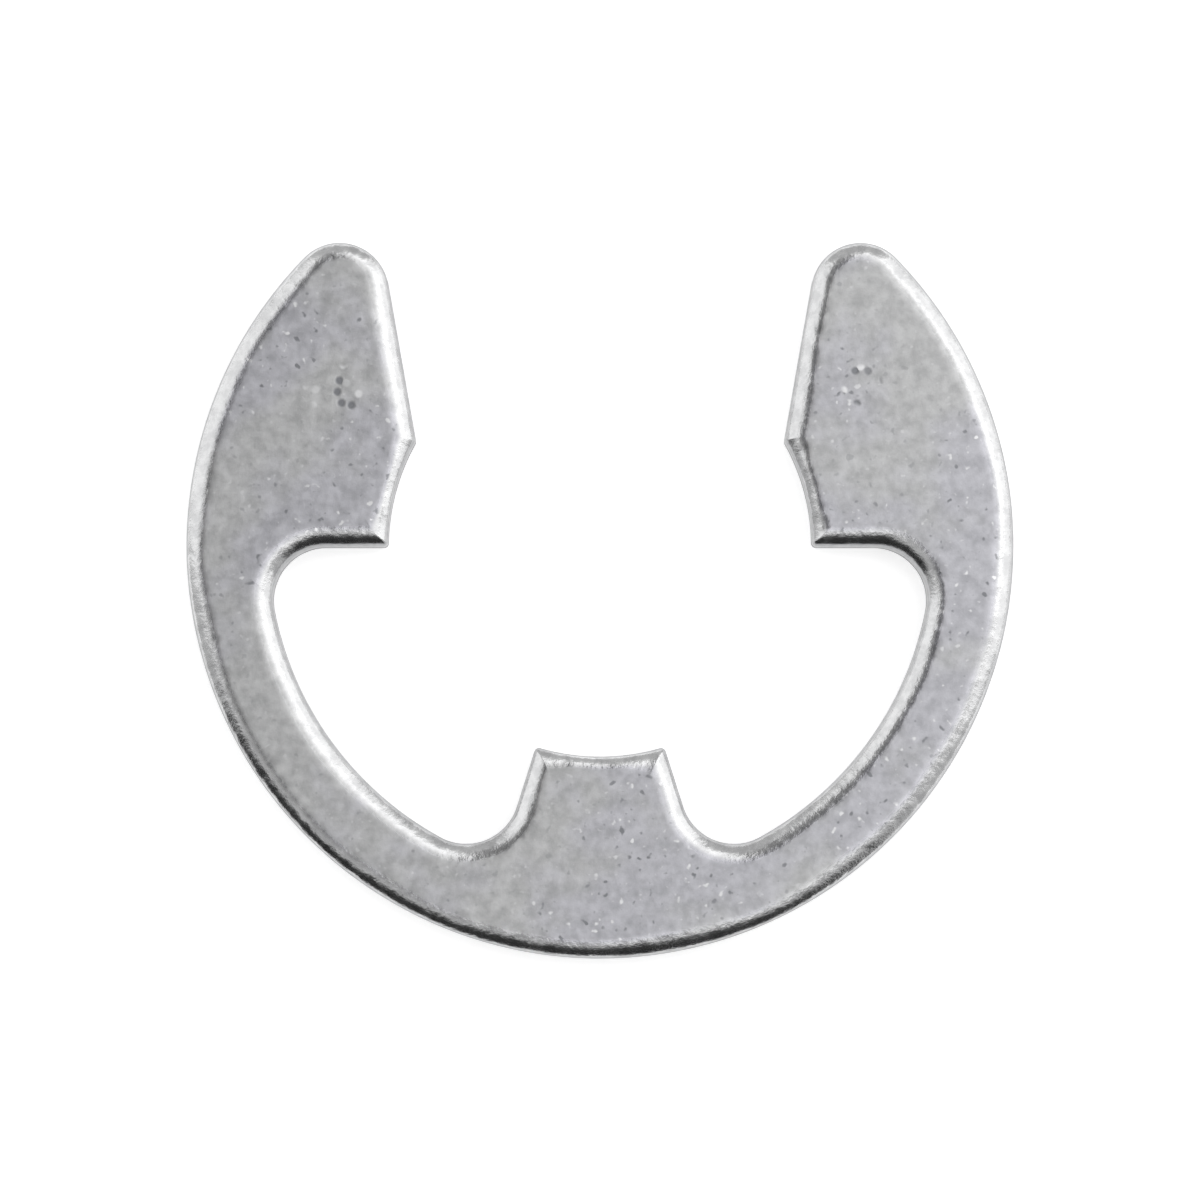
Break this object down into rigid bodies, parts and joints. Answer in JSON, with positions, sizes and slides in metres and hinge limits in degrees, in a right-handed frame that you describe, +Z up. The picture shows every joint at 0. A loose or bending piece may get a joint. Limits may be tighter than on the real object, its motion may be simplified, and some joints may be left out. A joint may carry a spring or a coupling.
{
  "type": "brake hose clip",
  "caption": "E-shaped spring clip punched from zinc-plated spring steel strip: a springing bow and inward lugs that snap into a groove and hold a hose end or pin.",
  "frame": {"origin": "centre of the gripped shaft, on the clip's underside", "axes": "+X across the mouth to the right, +Y out of the mouth, +Z up along the shaft, out of the face with the rolled edges"},
  "size_m": [0.0234, 0.0203, 0.0013],
  "materials": {
    "zinc_steel": "barrel zinc plate on spring steel, satin grey with a fine mottled grain and bright rolled edges"
  },
  "bodies": {
    "root": {"clip": "zinc_steel"}
  },
  "joints": []
}
